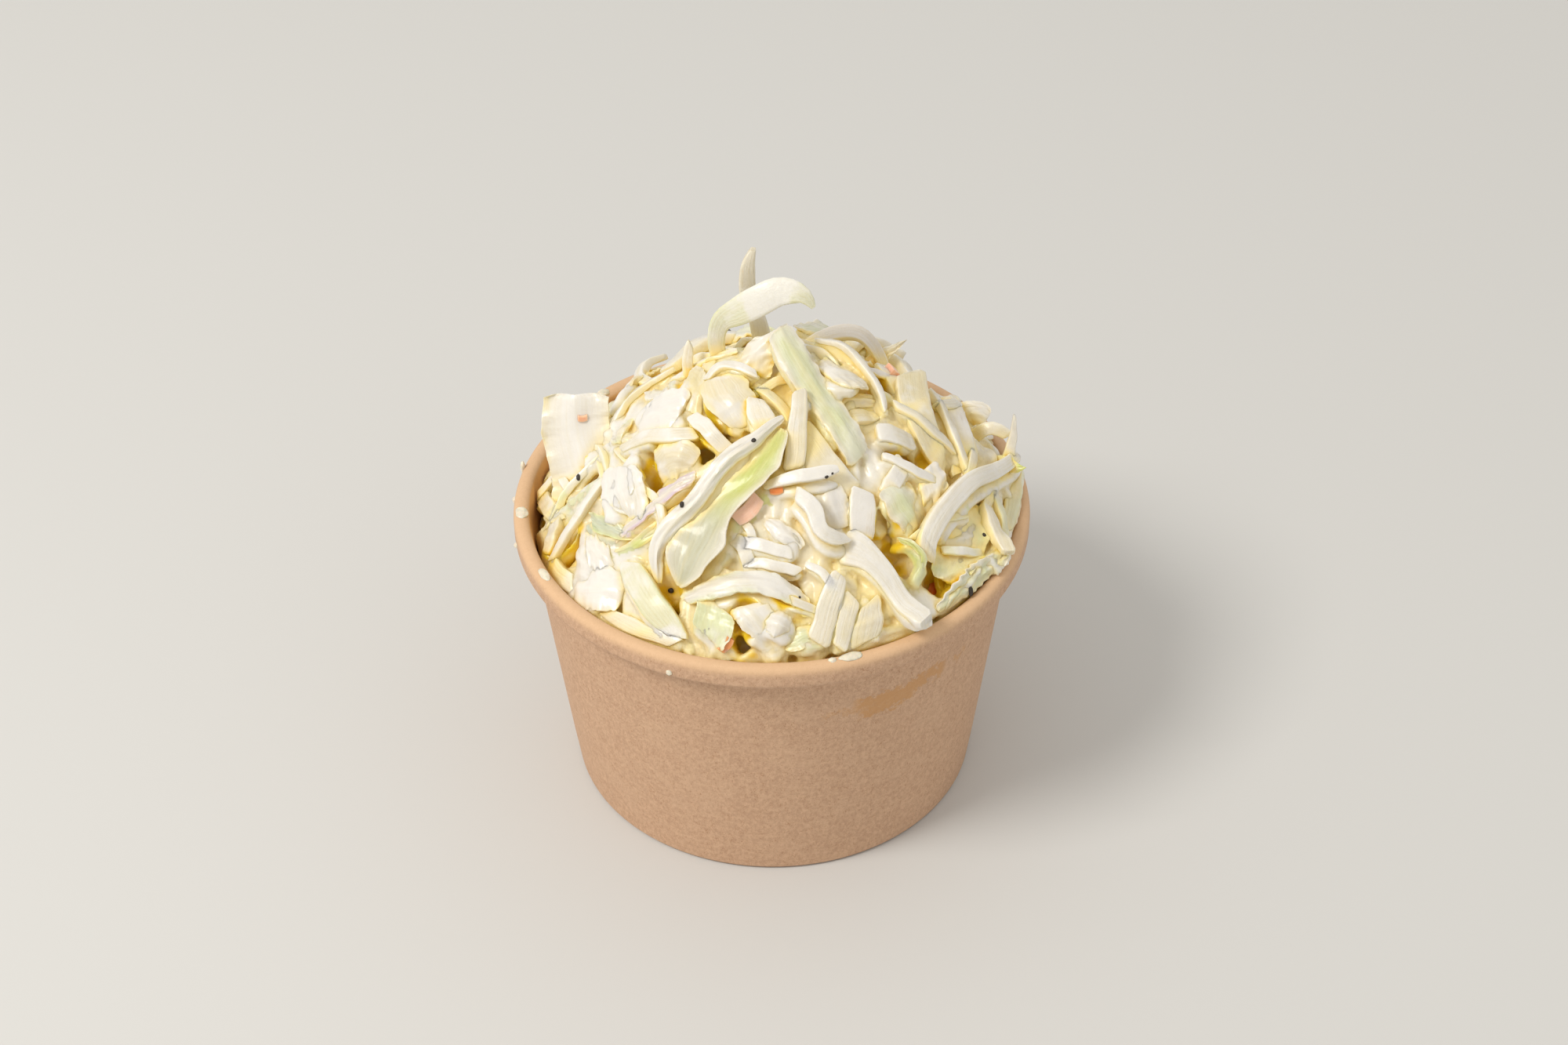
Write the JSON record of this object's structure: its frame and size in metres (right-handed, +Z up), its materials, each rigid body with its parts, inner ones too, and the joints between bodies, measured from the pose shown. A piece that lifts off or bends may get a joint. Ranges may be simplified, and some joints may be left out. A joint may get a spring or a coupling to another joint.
{
  "type": "tub of coleslaw",
  "caption": "Creamy coleslaw of shredded white cabbage with bits of carrot, heaped over the rim of a squat kraft paper tub.",
  "frame": {"origin": "on the surface that the tub stands on, under the middle of its round base", "axes": "+Z up, -Y towards the front of the heap, +X to the right as seen from the front"},
  "size_m": [0.098, 0.098, 0.1072],
  "materials": {
    "kraft_board": "uncoated brown paperboard with fine fibres, matt, with a faint oil smear under the rim at the front right",
    "creamy_slaw": "wet and glossy cabbage in a thin creamy dressing, white to pale green, amber where the dressing pools"
  },
  "bodies": {
    "root": {"tub_wall": "kraft_board", "tub_base": "kraft_board", "slaw": "creamy_slaw"}
  },
  "joints": []
}
